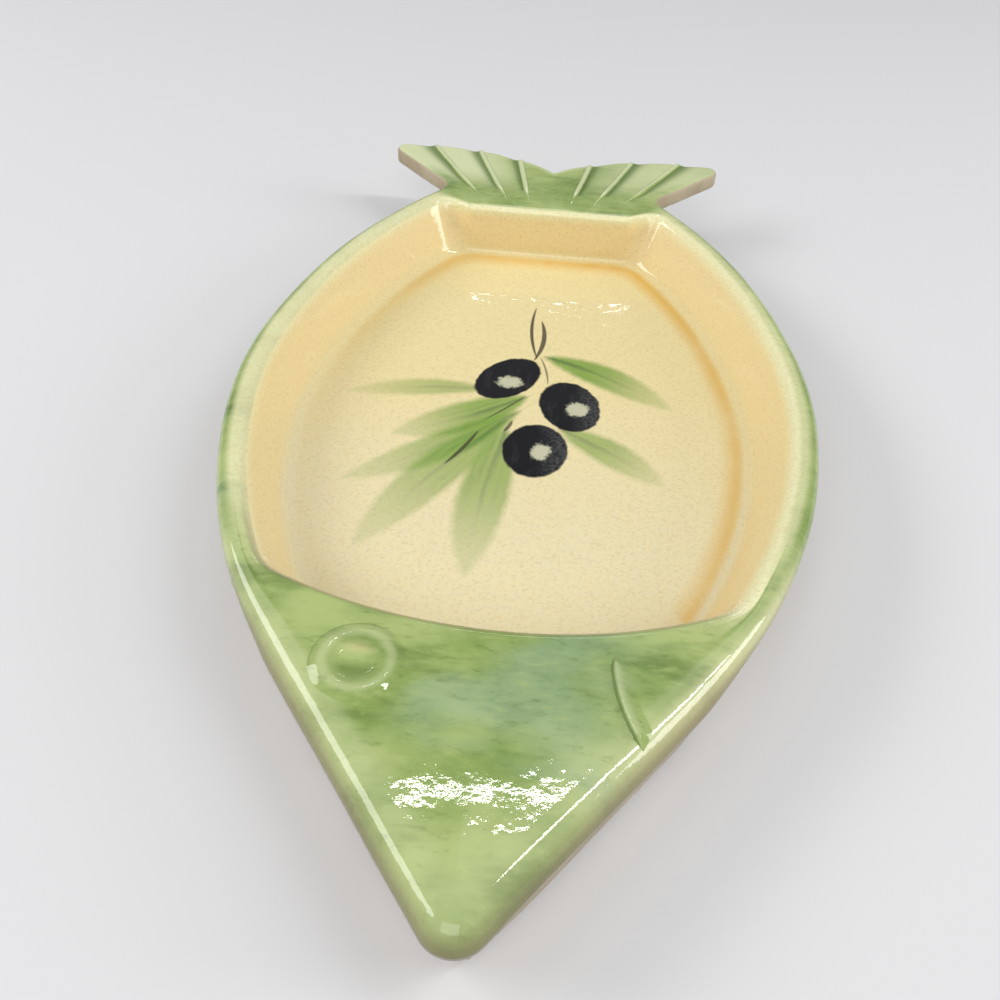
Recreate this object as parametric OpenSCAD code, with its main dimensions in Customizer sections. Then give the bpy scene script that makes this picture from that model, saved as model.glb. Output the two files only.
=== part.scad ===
// Fish-shaped olive dish in glazed earthenware, built up from clay slabs and coils.
// The pieces meet face to face at their luted seams.
// Frame: +Z up from the table, +Y from snout to tail, origin under the middle of the dish.
// Plan shapes are drawn from the widest line of the body, and placed() centres the dish.

/* [Body] */
// Greatest width over the two flanks
body_width = 184; // [170:1:200]
// Plan radius of each flank
flank_radius = 195; // [185:1:215]
// Angle between each side of the head and the long axis
head_angle = 37.6; // [35:0.1:41]
// Plan radius of the snout
snout_radius = 8.4; // [6:0.1:12]
// Radius of the rounded edge of the head
head_round = 7.4; // [6:0.1:7.6]
// Height of the rim, the head and the tail above the table
body_height = 28; // [25:0.5:34]

/* [Well] */
// Depth of the well below the rim
well_depth = 20; // [15:0.5:22]
// From the widest line forward to the front edge of the well
well_front = 104; // [96:0.5:108]
// From the widest line back to the tail edge of the well
well_back = 117.8; // [112:0.2:120]
// Plan radius of the front edge of the well
front_radius = 150; // [130:1:190]
// Plan radius of the front corners of the well
front_corner_radius = 15; // [14:0.5:20]
// Plan radius of the tail corners of the well
back_corner_radius = 17; // [14:0.5:22]
// How much further in the top of the wall at the tail stands than that of a flank wall
tail_pinch = 10; // [6:0.5:10.5]
// Radius of the fillet between the walls and the floor
floor_fillet = 6; // [3:0.5:7]

/* [Walls] */
// Width of the rounded rim
rim_width = 9.6; // [8.5:0.1:11]
// Width of the flat crest of the rim
rim_crest = 0.8; // [0.4:0.1:1.6]
// Part of the round of the rim that is flattened where it sits on the wall
rim_flat = 1.1; // [0.6:0.1:2]
// Lean of the walls of the well from upright
wall_lean = 28; // [24:0.5:31]
// Lean of the sides of the head from upright
head_lean = 12; // [8:0.5:16]
// Thickness of the sides of the hollow head, measured level
head_wall = 4.5; // [4:0.1:6]
// Thickness of the slab under the head
base_thick = 4; // [3:0.1:5]
// Diameter of the vent hole under the head
vent_diameter = 6; // [4:0.5:8]
// Height of the foot
foot_height = 2.5; // [1.5:0.1:3]
// Width of the foot
foot_width = 6; // [4:0.1:7]
// Inset of the foot from the outline of the rim
foot_inset = 13.5; // [12:0.1:15]

/* [Tail] */
// From the tail edge of the well back to the neck
neck_length = 11.2; // [9:0.1:14]
// Height of the ledge that the tail slab sits on
tail_ledge = 1.2; // [0.8:0.1:2.4]
// From the tail edge of the well forward to the point where the rays meet
fan_reach = 50.2; // [46:0.2:54]
// From the point where the rays meet to the notch between the lobes
notch_radius = 78.5; // [74:0.5:84]
// Rays on each lobe
ray_count = 3; // [2:1:5]
// Growth of the fan radius from one ray to the next
ray_growth = 10.3; // [8:0.1:12]
// Angle by which each lobe widens from its neck to its tip
lobe_flare = 0.9; // [0:0.1:3]
// Part of a ray's pitch between the last ray and the tip
tip_share = 0.7; // [0.5:0.05:0.9]
// Length of the blunt end of each tip
tip_blunt = 6; // [4:0.5:8]
// Swell of the tail edge between two rays
scallop = 1; // [0.4:0.1:1.6]
// Width of a ray
ray_width = 3.2; // [2.4:0.1:4]
// Height of a ray above the tail
ray_height = 1.2; // [0.8:0.1:1.6]
// From the tail edge of the well back to the middle of a ray's round root
ray_root = 4.5; // [3:0.1:7]

/* [Face] */
// Outer diameter of the eye
eye_diameter = 22.4; // [20:0.1:23]
// Width of the ring round the eye
eye_ring_width = 4.2; // [3:0.1:5]
// Height of the ring above the head
eye_height = 1.8; // [1.2:0.1:2.4]
// Inset of the eye's centre from the side of the head
eye_inset = 17.6; // [16.4:0.1:20]
// From the end of the straight side forward to the eye
eye_ahead = 12; // [6:0.5:18]
// Diameter of the pupil
pupil_diameter = 13; // [10:0.1:13.6]
// Height of the pupil's edge above the head
pupil_height = 1.2; // [0.8:0.1:1.6]
// Depth of the hollow in the pupil
pupil_hollow = 0.8; // [0.4:0.1:1]
// Width of the lip
lip_width = 4.4; // [3:0.1:5]
// Height of the lip above the head
lip_height = 1.6; // [1:0.1:2.2]
// Length of the lip from end to end
lip_length = 21.5; // [16:0.5:24]
// Plan radius of the lip
lip_radius = 45; // [36:1:60]
// Inset of the lip's front end from the side of the head
lip_inset = 7.6; // [7.4:0.1:10]
// From the end of the straight side forward to the lip's front end
lip_ahead = 19.8; // [16:0.1:28]
// Turn of the lip away from the side of the head
lip_turn = 45.4; // [38:0.2:60]

/* [Hidden] */
$fn = 180;

green_glaze = "yellowgreen";
dark_glaze = "olivedrab";
pale_glaze = "darkseagreen";
cream_glaze = "moccasin";
bare_clay = "tan";

// Steps round the snout, along a side of the head, round a corner, over a round edge,
// along the tail edge from one ray to the next and along the lip
snout_steps = 6;
side_steps = 6;
corner_steps = 8;
round_steps = 8;
lobe_steps = 6;
lip_steps = 16;
// Part of the lip's width and height that is left at its ends
lip_end_share = 0.2;
// Reach of cutting shapes past the dish
overrun = body_width;

// Heights
floor_z = body_height - well_depth;
base_z = foot_height + base_thick;
roll_radius = (rim_width - rim_crest) / 2;
roll_z = body_height - roll_radius;
seat_z = roll_z - roll_radius + rim_flat;
tail_z = seat_z + tail_ledge;

// Outline: each flank is an arc about a point on the far side of the long axis
flank_offset = flank_radius - body_width / 2;
flank_centre = [-flank_offset, 0];
snout_y = side_point(snout_radius).y - side_point(snout_radius).x / tan(head_angle);
neck_y = well_back + neck_length;
neck_angle = asin(neck_y / flank_radius);
neck = flank_point(neck_angle, 0);

// Well: its flanks follow the outline, one rim width inside it
well_radius = flank_radius - rim_width;
front_y = front_radius - well_front;
front_corner = meeting_point(
    flank_centre, well_radius - front_corner_radius,
    [0, front_y], front_radius - front_corner_radius
);
gill_angle = angle_about(flank_centre, front_corner);
front_angle = angle_about([0, front_y], front_corner);
back_corner_y = well_back - back_corner_radius;
back_corner_x = sqrt((well_radius - back_corner_radius) ^ 2 - back_corner_y ^ 2) - flank_offset;
back_corner = [back_corner_x, back_corner_y];
back_angle = angle_about(flank_centre, back_corner);

// Sections are drawn as inset from the outline and height
seat_angle = asin((seat_z - roll_z) / roll_radius);
seat_out = roll_radius - roll_radius * cos(seat_angle);
seat_in = inner_face(seat_z);
toe = inner_face(floor_z) + floor_fillet * tan((90 - wall_lean) / 2);
fillet_centre = [toe, floor_z + floor_fillet];
heel = outer_face(base_z) + head_wall;
outer_round = [
    for (angle = spread(180 - seat_angle, 90, round_steps))
        [roll_radius, roll_z] + roll_radius * heading(angle)
];
head_seat_angle = asin((seat_z - body_height + head_round) / head_round);
head_out = head_round - head_round * cos(head_seat_angle);
head_edge = [
    for (angle = spread(180 - head_seat_angle, 90, round_steps))
        [head_round, body_height - head_round] + head_round * heading(angle)
];
inner_round = [
    for (angle = spread(90, wall_lean, round_steps))
        [rim_width - roll_radius, roll_z] + roll_radius * heading(angle)
];
wall_face = [
    for (angle = spread(180 + wall_lean, 270, round_steps))
        fillet_centre + floor_fillet * heading(angle)
];
rim_section = concat(outer_round, inner_round, [[seat_in, seat_z]]);
wall_section = concat(
    [[toe, foot_height], [outer_face(foot_height), foot_height]],
    [[seat_out, seat_z], [seat_in, seat_z]], wall_face
);
// The wall behind the head is what is left of a flank wall inside the head's side
front_wall_section = concat(
    [[toe, foot_height], [heel, foot_height], [heel, base_z]],
    [[seat_out + head_wall, seat_z], [seat_in, seat_z]], wall_face
);
tail_rim_section = concat(
    [[seat_out, seat_z], [seat_out, tail_z], [roll_radius, tail_z], [roll_radius, body_height]],
    inner_round, [[seat_in, seat_z]]
);

// Paths go round the dish from its left, as lists of a point on the well's edge
// and the level direction into the well there
front_path = both_halves(concat(
    arc_path([0, front_y], front_radius, -90, front_angle, snout_steps + side_steps),
    without_first(
        arc_path(front_corner, front_corner_radius, front_angle, gill_angle, corner_steps)
    )
));
back_path = backwards(both_halves(concat(
    [[[0, well_back], heading(-90)]],
    arc_path(back_corner, back_corner_radius, 90, back_angle, corner_steps)
)));

// Tail: points are given by angle about the point where the rays meet
fan_y = well_back - fan_reach;
tip_angle = atan(neck.x / (neck.y - fan_y)) + lobe_flare;
ray_pitch = tip_angle / (ray_count + tip_share);
tail_edge = [for (angle = spread(0, tip_angle, lobe_steps * (ray_count + 1))) fan_point(angle)];
tail_end = max([for (point = tail_edge) point.y]);
middle_y = (tail_end + snout_y - snout_radius) / 2;

function mirrored(point) = [-point.x, point.y];
function heading(angle) = [cos(angle), sin(angle)];
function angle_about(centre, point) = atan2(point.y - centre.y, point.x - centre.x);
function spread(from, to, steps) = [for (step = [0 : steps]) from + (to - from) * step / steps];
function without_first(list) = [for (index = [1 : len(list) - 1]) list[index]];
function backwards(list) = [for (index = [len(list) - 1 : -1 : 0]) list[index]];
function outer_face(z) = seat_out + (seat_z - z) * tan(wall_lean);
function head_face(z) = head_out + (seat_z - z) * tan(head_lean);
function inner_face(z) =
    rim_width - roll_radius + roll_radius * cos(wall_lean)
    + (roll_z + roll_radius * sin(wall_lean) - z) * tan(wall_lean);
function flank_point(angle, inset) = flank_centre + (flank_radius - inset) * heading(angle);
function side_point(inset) = flank_point(-head_angle, inset);
function snout_point(inset) = [0, snout_y] + (snout_radius - inset) * heading(-head_angle);
function wedge_tip(inset) = [0, side_point(inset).y - side_point(inset).x / tan(head_angle)];
function side_place(inset, ahead) = side_point(inset) - ahead * heading(90 - head_angle);
// Lower of the two points where two circles meet
function meeting_point(centre_a, radius_a, centre_b, radius_b) =
    let (
        gap = norm(centre_b - centre_a),
        along = (centre_b - centre_a) / gap,
        reach = (radius_a ^ 2 - radius_b ^ 2 + gap ^ 2) / (2 * gap),
        rise = sqrt(radius_a ^ 2 - reach ^ 2)
    )
    centre_a + reach * along + rise * [along.y, -along.x];
function fan_radius(angle) =
    notch_radius + ray_growth * angle / ray_pitch + scallop * abs(sin(180 * angle / ray_pitch));
function fan_point(angle) = [0, fan_y] + fan_radius(angle) * heading(90 - angle);

function arc_path(centre, radius, from, to, steps) =
    [for (angle = spread(from, to, steps)) [centre + radius * heading(angle), -heading(angle)]];
// Whole path from its right half, which starts on the long axis
function both_halves(half) = concat(
    [for (place = backwards(without_first(half))) [mirrored(place[0]), mirrored(place[1])]],
    half
);
// Right half of the head's outline from the snout to the gill, a given distance inside it
function head_half(inset) =
    let (
        nose = inset < snout_radius ? snout_point(inset) : wedge_tip(inset),
        first_share = snout_steps / (snout_steps + side_steps),
        turn = inset < snout_radius
            ? [for (angle = spread(-90, -head_angle, snout_steps))
                [0, snout_y] + (snout_radius - inset) * heading(angle)]
            : [for (share = spread(0, first_share, snout_steps))
                nose + share * (side_point(inset) - nose)],
        turn_end = turn[snout_steps]
    )
    concat(
        turn,
        [for (share = spread(1 / side_steps, 1, side_steps - 1))
            turn_end + share * (side_point(inset) - turn_end)],
        [for (angle = without_first(spread(-head_angle, gill_angle, corner_steps)))
            flank_point(angle, inset)]
    );
function whole_head(half) =
    concat([for (point = backwards(without_first(half))) mirrored(point)], half);
// How far the head has given way to the flank at a point of that half, round the gill
function gill_share(index) =
    (1 - cos(180 * max(index - snout_steps - side_steps, 0) / corner_steps)) / 2;
// Side of the head at a height, a given depth inside its face
function head_side(z, depth) =
    let (steep = head_half(head_face(z) + depth), leaning = head_half(outer_face(z) + depth))
    [for (index = [0 : len(steep) - 1])
        steep[index] + gill_share(index) * (leaning[index] - steep[index])];
// Inset and height of a spot on the head's rounded edge
function head_edge_place(spot, index) =
    head_edge[spot] + gill_share(index) * (outer_round[spot] - head_edge[spot]);

// Section carried along a path
function swept(path, section, shift) = [
    for (place = path) [
        for (point = section)
            let (level = place[0] + (point.x + shift) * place[1]) [level.x, level.y, point.y]
    ]
];
// The same round the tail end of the well, where the inner side gets steeper
function swept_steep(section) = [
    for (place = back_path)
        let (
            turn = asin(-place[1].y) - back_angle,
            share = (1 - cos(180 * turn / (90 - back_angle))) / 2
        )
        each swept([place], [for (point = section) pinched(point, share)], -rim_width)
];
function pinched(point, share) =
    let (height_share = max(point.y - floor_z, 0) / well_depth)
    point.x > roll_radius ? point + [share * tail_pinch * height_share, 0] : point;

module placed() translate([0, -middle_y, 0]) children();

module both_sides() {
    children();
    mirror([1, 0, 0]) children();
}

// Solid through a row of closed rings with equal counts of points
module skin(rings) {
    count = len(rings[0]);
    last = len(rings) - 1;
    polyhedron(
        points = [for (ring = rings) each ring],
        faces = concat(
            [for (row = [0 : last - 1], spot = [0 : count - 1])
                let (next = (spot + 1) % count, here = row * count, there = here + count)
                each [
                    [here + spot, here + next, there + next],
                    [here + spot, there + next, there + spot]
                ]],
            [[for (spot = [count - 1 : -1 : 0]) spot]],
            [[for (spot = [0 : count - 1]) last * count + spot]]
        )
    );
}

// Plan of the body, a given distance inside its outline and as far back as the neck
module body_plan(inset) {
    nose = inset < snout_radius
        ? [mirrored(snout_point(inset)), snout_point(inset)]
        : [wedge_tip(inset)];
    middle = [0, -flank_offset * tan(head_angle)];
    intersection() {
        translate(flank_centre) circle(flank_radius - inset);
        translate(-flank_centre) circle(flank_radius - inset);
        translate([-overrun, -overrun]) square([2 * overrun, overrun + neck_y]);
    }
    polygon(concat([side_point(inset), middle, mirrored(side_point(inset))], nose));
    if (inset < snout_radius) translate([0, snout_y]) circle(snout_radius - inset);
}

// Corner of the well outside the two points where its round begins
module corner_tip(centre, radius, from, to) {
    far = 2 * radius / cos((to - from) / 2);
    polygon([
        centre,
        centre + radius * heading(from),
        centre + far * heading((from + to) / 2),
        centre + radius * heading(to)
    ]);
}

// Plan of the well, a given distance inside its edge
module well_plan(inset) {
    difference() {
        intersection() {
            translate(flank_centre) circle(well_radius - inset);
            translate(-flank_centre) circle(well_radius - inset);
            translate([0, front_y]) circle(front_radius - inset);
            translate([-overrun, -overrun]) square([2 * overrun, overrun + well_back - inset]);
        }
        both_sides() {
            corner_tip(front_corner, front_corner_radius - inset, front_angle, gill_angle);
            corner_tip(back_corner, back_corner_radius - inset, back_angle, 90);
        }
    }
    both_sides() {
        translate(front_corner) circle(front_corner_radius - inset);
        translate(back_corner) circle(back_corner_radius - inset);
    }
}

// Plan of the foot: the well's shape at the back, the body's shape at the head
module foot_plan(inset) {
    well_plan(inset - rim_width);
    intersection() {
        body_plan(inset);
        translate([-overrun, -overrun]) square([2 * overrun, overrun]);
    }
}

module along_flank(section) {
    translate(flank_centre) rotate([0, 0, gill_angle])
        rotate_extrude(angle = back_angle - gill_angle)
            translate([flank_radius, 0]) mirror([1, 0]) polygon(section);
}

// Low ridge with a round back and domed ends
module ridge_section(width, height) {
    bow = (width ^ 2 / 4 + height ^ 2) / (2 * height);
    intersection() {
        translate([0, height - bow]) circle(bow);
        translate([-width, 0]) square([2 * width, height]);
    }
}

module ridge_end(width, height) {
    rotate_extrude() intersection() {
        ridge_section(width, height);
        square([width, height]);
    }
}

module straight_ridge(length, width, height) {
    rotate([90, 0, 90]) linear_extrude(length) ridge_section(width, height);
    ridge_end(width, height);
    translate([length, 0, 0]) ridge_end(width, height);
}

// Low ridge along an arc, which fades out at both ends
module curved_ridge(length, radius, width, height) {
    half_turn = asin(length / 2 / radius);
    skin([
        for (share = spread(0, 1, lip_steps))
            let (
                turn = half_turn * (2 * share - 1),
                fade = lip_end_share + (1 - lip_end_share) * sqrt(sin(180 * share))
            )
            [for (angle = spread(180, 0, round_steps))
                let (reach = radius + fade * width / 2 * cos(angle)) [
                    length / 2 + reach * sin(turn),
                    reach * cos(turn) - radius * cos(half_turn),
                    fade * height * sin(angle)
                ]]
    ]);
}

// Pieces
module foot_rim() color(bare_clay) placed() {
    linear_extrude(foot_height) difference() {
        foot_plan(foot_inset);
        foot_plan(foot_inset + foot_width);
    }
}

module well_floor() color(cream_glaze) placed() {
    translate([0, 0, foot_height]) linear_extrude(floor_z - foot_height)
        well_plan(toe - rim_width);
}

module right_wall() color(cream_glaze) placed() along_flank(wall_section);

module left_wall() mirror([1, 0, 0]) right_wall();

module tail_wall() color(cream_glaze) placed() skin(swept_steep(wall_section));

module front_wall() color(cream_glaze) placed() {
    skin(swept(front_path, front_wall_section, -rim_width));
}

module head_base() color(bare_clay) placed() {
    difference() {
        translate([0, 0, foot_height]) linear_extrude(base_thick) difference() {
            polygon(concat(
                whole_head(head_side(foot_height, 0)),
                [[0, flank_offset * tan(gill_angle)]]
            ));
            well_plan(heel - rim_width);
        }
        translate([0, (snout_y - well_front) / 2, 0])
            cylinder(h = body_height, d = vent_diameter);
    }
}

module head_right_wall() color(bare_clay) placed() {
    outer = head_side(base_z, 0);
    inner = head_side(base_z, head_wall);
    outer_top = head_side(seat_z, 0);
    inner_top = head_side(seat_z, head_wall);
    skin([
        for (index = [0 : len(outer) - 1]) [
            [outer[index].x, outer[index].y, base_z],
            [outer_top[index].x, outer_top[index].y, seat_z],
            [inner_top[index].x, inner_top[index].y, seat_z],
            [inner[index].x, inner[index].y, base_z]
        ]
    ]);
}

module head_left_wall() mirror([1, 0, 0]) head_right_wall();

module head_deck() color(green_glaze) placed() {
    gill = snout_steps + side_steps + corner_steps;
    outer = [
        for (spot = [0 : round_steps])
            whole_head([for (index = [0 : gill]) head_half(head_edge_place(spot, index).x)[index]])
    ];
    inner = swept(front_path, concat(inner_round, [[seat_in, seat_z]]), -rim_width);
    skin([
        for (index = [0 : 2 * gill]) concat(
            [for (spot = [0 : round_steps])
                let (height = head_edge_place(spot, abs(index - gill)).y)
                [outer[spot][index].x, outer[spot][index].y, height]],
            inner[index]
        )
    ]);
}

module right_rim() color(pale_glaze) placed() along_flank(rim_section);

module left_rim() mirror([1, 0, 0]) right_rim();

module tail_rim() color(pale_glaze) placed() skin(swept_steep(tail_rim_section));

module tail_fin() color(green_glaze) placed() {
    tip = tail_edge[len(tail_edge) - 1];
    flank = [for (angle = spread(back_angle, neck_angle, corner_steps)) flank_point(angle, 0)];
    lobe = concat(flank, [tip - [0, tip_blunt]], backwards(tail_edge));
    front_edge = [for (place = backwards(back_path)) place[0] + (roll_radius - rim_width) * place[1]];
    translate([0, 0, tail_z]) linear_extrude(body_height - tail_z) polygon(concat(
        lobe,
        [for (point = without_first(backwards(lobe))) mirrored(point)],
        front_edge
    ));
}

module tail_rays() color(pale_glaze) placed() {
    root_y = well_back + roll_radius - tail_pinch + ray_root;
    for (side = [-1, 1], ray = [1 : ray_count]) {
        start = (root_y - fan_y) / cos(ray * ray_pitch);
        end = fan_radius(ray * ray_pitch) - ray_width / 2;
        translate([0, fan_y, body_height]) rotate([0, 0, 90 + side * ray * ray_pitch])
            translate([start, 0, 0]) straight_ridge(end - start, ray_width, ray_height);
    }
}

module eye_place() {
    centre = mirrored(side_place(eye_inset, eye_ahead));
    translate([centre.x, centre.y, body_height]) children();
}

module eye_ring() color(dark_glaze) placed() eye_place() {
    rotate_extrude() translate([(eye_diameter - eye_ring_width) / 2, 0])
        ridge_section(eye_ring_width, eye_height);
}

module eye_pupil() color(green_glaze) placed() eye_place() {
    bowl = (pupil_diameter ^ 2 / 4 + pupil_hollow ^ 2) / (2 * pupil_hollow);
    difference() {
        cylinder(h = pupil_height, d = pupil_diameter);
        translate([0, 0, pupil_height - pupil_hollow + bowl]) sphere(bowl);
    }
}

module mouth_lip() color(green_glaze) placed() {
    front_end = side_place(lip_inset, lip_ahead);
    translate([front_end.x, front_end.y, body_height])
        rotate([0, 0, 90 - head_angle + lip_turn])
            curved_ridge(lip_length, lip_radius, lip_width, lip_height);
}

foot_rim();
well_floor();
left_wall();
right_wall();
tail_wall();
front_wall();
head_base();
head_left_wall();
head_right_wall();
head_deck();
left_rim();
right_rim();
tail_rim();
tail_fin();
tail_rays();
eye_ring();
eye_pupil();
mouth_lip();
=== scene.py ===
import math

import bmesh
import bpy
from mathutils import Matrix, Vector, noise


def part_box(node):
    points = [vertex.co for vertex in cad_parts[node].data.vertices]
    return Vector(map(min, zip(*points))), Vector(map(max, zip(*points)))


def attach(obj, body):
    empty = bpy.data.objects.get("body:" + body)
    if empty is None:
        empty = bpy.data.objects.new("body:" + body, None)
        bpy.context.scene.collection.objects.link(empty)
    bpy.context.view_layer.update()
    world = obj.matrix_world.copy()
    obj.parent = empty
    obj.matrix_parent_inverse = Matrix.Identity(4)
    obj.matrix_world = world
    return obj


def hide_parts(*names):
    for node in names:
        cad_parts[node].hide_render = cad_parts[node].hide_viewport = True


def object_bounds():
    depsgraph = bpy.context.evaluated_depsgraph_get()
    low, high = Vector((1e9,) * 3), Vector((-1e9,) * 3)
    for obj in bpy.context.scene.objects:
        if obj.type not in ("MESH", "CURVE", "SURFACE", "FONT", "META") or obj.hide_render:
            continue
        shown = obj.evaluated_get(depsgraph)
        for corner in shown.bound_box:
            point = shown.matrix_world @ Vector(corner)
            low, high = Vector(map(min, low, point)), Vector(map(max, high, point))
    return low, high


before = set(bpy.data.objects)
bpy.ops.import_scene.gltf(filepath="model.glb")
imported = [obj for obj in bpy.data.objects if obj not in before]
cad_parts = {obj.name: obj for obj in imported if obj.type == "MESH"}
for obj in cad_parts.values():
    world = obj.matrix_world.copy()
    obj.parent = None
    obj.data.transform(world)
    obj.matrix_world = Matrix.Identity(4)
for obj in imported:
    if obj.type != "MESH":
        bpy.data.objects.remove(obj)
cadLow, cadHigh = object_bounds()
mm = 0.001

# plan of the dish, with y counted from its widest line
dishPlan = {
    "flankRadius": 195 * mm,  # each flank is one arc
    "headAngle": math.radians(37.6),  # between the long axis and a side of the head
    "snoutRadius": 8.4 * mm,
    "wellFront": 101.8 * mm,
    "wellBack": 117.8 * mm,
    "frontRadius": 140 * mm,
    "frontCorner": 15 * mm,
    "backCorner": 17 * mm,
    "toeRound": 9 * mm,  # by which that corner is rounder at the floor
    "rimWidth": 9.6 * mm,
    "rimRoll": 4.4 * mm,  # radius of the rounded edge
    "wallLean": math.radians(28),
    "headRound": 7.4 * mm,  # the same at the head
    "headLean": math.radians(12),
    "tailPinch": 10 * mm,  # how much further in the back wall's top stands
    "floorFillet": 6 * mm,
}
stops = {"snout": 10, "side": 16, "gill": 12, "flank": 44, "neck": 8, "tip": 10, "panel": 12}

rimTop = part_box("right_rim")[1].z
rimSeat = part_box("left_wall")[1].z
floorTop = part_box("well_floor")[1].z
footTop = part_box("foot_rim")[1].z
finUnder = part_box("tail_fin")[0].z

flankRadius, headAngle = dishPlan["flankRadius"], dishPlan["headAngle"]
rimWidth, roll, lean = dishPlan["rimWidth"], dishPlan["rimRoll"], dishPlan["wallLean"]
rollLine = rimTop - roll
headRound = dishPlan["headRound"]
headLine = rimTop - headRound
flankCentre = Vector((cadHigh.x - flankRadius, 0))


def polar(centre, radius, angle):
    return Vector((centre[0] + radius * math.cos(angle), centre[1] + radius * math.sin(angle)))


def smooth(value, start=0.0, end=1.0):
    share = min(max((value - start) / (end - start), 0.0), 1.0)
    return share * share * (3 - 2 * share)


def span(start, end, steps):  # the end is left to the next stretch
    return [start + (end - start) * i / steps for i in range(steps)]


def meet(first, firstRadius, second, secondRadius):  # where two circles cross, right of the way between them
    gap = second - first
    ahead = (gap.length_squared + firstRadius**2 - secondRadius**2) / (2 * gap.length)
    aside = math.sqrt(firstRadius**2 - ahead**2)
    way = gap.normalized()
    return first + way * ahead + Vector((way.y, -way.x)) * aside


def flankPoint(angle, inset):
    return polar(flankCentre, flankRadius - inset, angle)


def wedgeTip(inset):  # where the two sides of the head would meet
    foot = flankPoint(-headAngle, inset)
    return foot.y - foot.x / math.tan(headAngle)


frontRadius, frontTurn = dishPlan["frontRadius"], dishPlan["frontCorner"]
frontCentre = Vector((0, frontRadius - dishPlan["wellFront"]))
wellRadius = flankRadius - rimWidth
frontCorner = meet(flankCentre, wellRadius - frontTurn, frontCentre, frontRadius - frontTurn)


def backCentre(radius):  # centre of a back corner that touches the flank and the back of the well
    line, reach = dishPlan["wellBack"] - radius, wellRadius - radius
    return Vector((flankCentre.x + math.sqrt(reach**2 - line**2), line))


backCorner = backCentre(dishPlan["backCorner"])


def heading(start, end):
    return math.atan2(end.y - start.y, end.x - start.x)


frontAngle = heading(frontCentre, frontCorner)
gillAngle = heading(flankCentre, frontCorner)
backAngle = heading(flankCentre, backCorner)
snoutReach = dishPlan["snoutRadius"] - wedgeTip(0) - dishPlan["snoutRadius"] / math.sin(headAngle)
widestLine = cadLow.y + snoutReach

tailFan = {
    "neckLength": 11.2 * mm,  # from the well to where the lobes start
    "reach": 50.2 * mm,  # from the fan's centre to the well
    "notchRadius": 78.5 * mm,
    "growth": 10.3 * mm,  # a ray is this much longer than the one before it
    "scallop": 1.0 * mm,
    "rays": 3,
    "tipShare": 0.7,  # of a panel, outside the last ray
    "flare": math.radians(0.9),
    "tipBlunt": 6 * mm,
    "tipRound": 3 * mm,
    "tipReach": 0.5 * mm,  # by which the tip is drawn out past the fan's growth
    "armpit": 5 * mm,
    "topEdge": 1.7 * mm,
    "bottomEdge": 0.9 * mm,
    "pleat": 0.75 * mm,  # drop on the outer side of each ray
    "steps": 22,
}
neckY = dishPlan["wellBack"] + tailFan["neckLength"]
neckAngle = math.asin(neckY / flankRadius)
neck = flankPoint(neckAngle, 0)
fanCentre = Vector((0, dishPlan["wellBack"] - tailFan["reach"]))
tipAngle = math.atan2(neck.x, neck.y - fanCentre.y) + tailFan["flare"]
rayPitch = tipAngle / (tailFan["rays"] + tailFan["tipShare"])
cornerTurn = math.radians(72)  # where the back corner passes the neck
cornerFan = math.atan2(backCorner.x, backCorner.y + dishPlan["backCorner"] + roll - fanCentre.y)


def fanAngles():  # from the lobe's side to the middle, closer together at each ray
    marks = [tipAngle] + [rayPitch * k for k in range(tailFan["rays"], -1, -1)]
    angles = []
    for k, (outer, inner) in enumerate(zip(marks, marks[1:])):
        for share in span(0, 1, stops["panel"] if k else stops["tip"]):
            angles.append(outer + (inner - outer) * (share - 0.1 * math.sin(2 * math.pi * share)))
    return angles + [0.0]


tailAngles = fanAngles()
sideAngles = tailAngles + [-a for a in tailAngles[-2::-1]]  # from the right lobe to the left one
halfCount = sum(stops[k] for k in ("snout", "side", "gill", "flank", "neck")) + len(tailAngles) - 1
neckStop = halfCount - len(tailAngles) + 1


def wholeRing(half):  # the other half is its mirror image
    return half + [Vector((-p.x, p.y)) for p in half[-2:0:-1]]


def backTurn(angle):  # turn about the back corner for one fan angle
    share = max(angle - cornerFan, 0) / (tipAngle - cornerFan)
    return math.pi / 2 + (cornerTurn - math.pi / 2) * share


def backEdge(radius, angle, centre=backCorner):  # corner and straight behind the well
    spot = polar(centre, radius, backTurn(angle))
    if angle < cornerFan:
        spot.x *= math.tan(angle) / math.tan(cornerFan)
    return spot


def wellRing(inset, height=floorTop):  # inner side of the well, counted from the outline
    depth = inset - rimWidth
    up = (height - floorTop) / (rimTop - floorTop)
    radius = dishPlan["backCorner"] + dishPlan["toeRound"] * (1 - up)
    centre = backCentre(radius)
    start = heading(flankCentre, centre)

    def corner(turn):  # the wall gets steeper round the back corner
        share = (turn - start) / (math.pi / 2 - start)
        return radius - depth - dishPlan["tailPinch"] * up * (1 - math.cos(math.pi * share)) / 2

    front = span(-math.pi / 2, frontAngle, stops["snout"] + stops["side"])
    half = [polar(frontCentre, frontRadius - depth, a) for a in front]
    half += [polar(frontCorner, frontTurn - depth, a) for a in span(frontAngle, gillAngle, stops["gill"])]
    half += [flankPoint(a, inset) for a in span(gillAngle, start, stops["flank"])]
    half += [polar(centre, corner(a), a) for a in span(start, cornerTurn, stops["neck"])]
    half += [backEdge(corner(backTurn(a)), a, centre) for a in tailAngles]
    return wholeRing(half)


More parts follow.
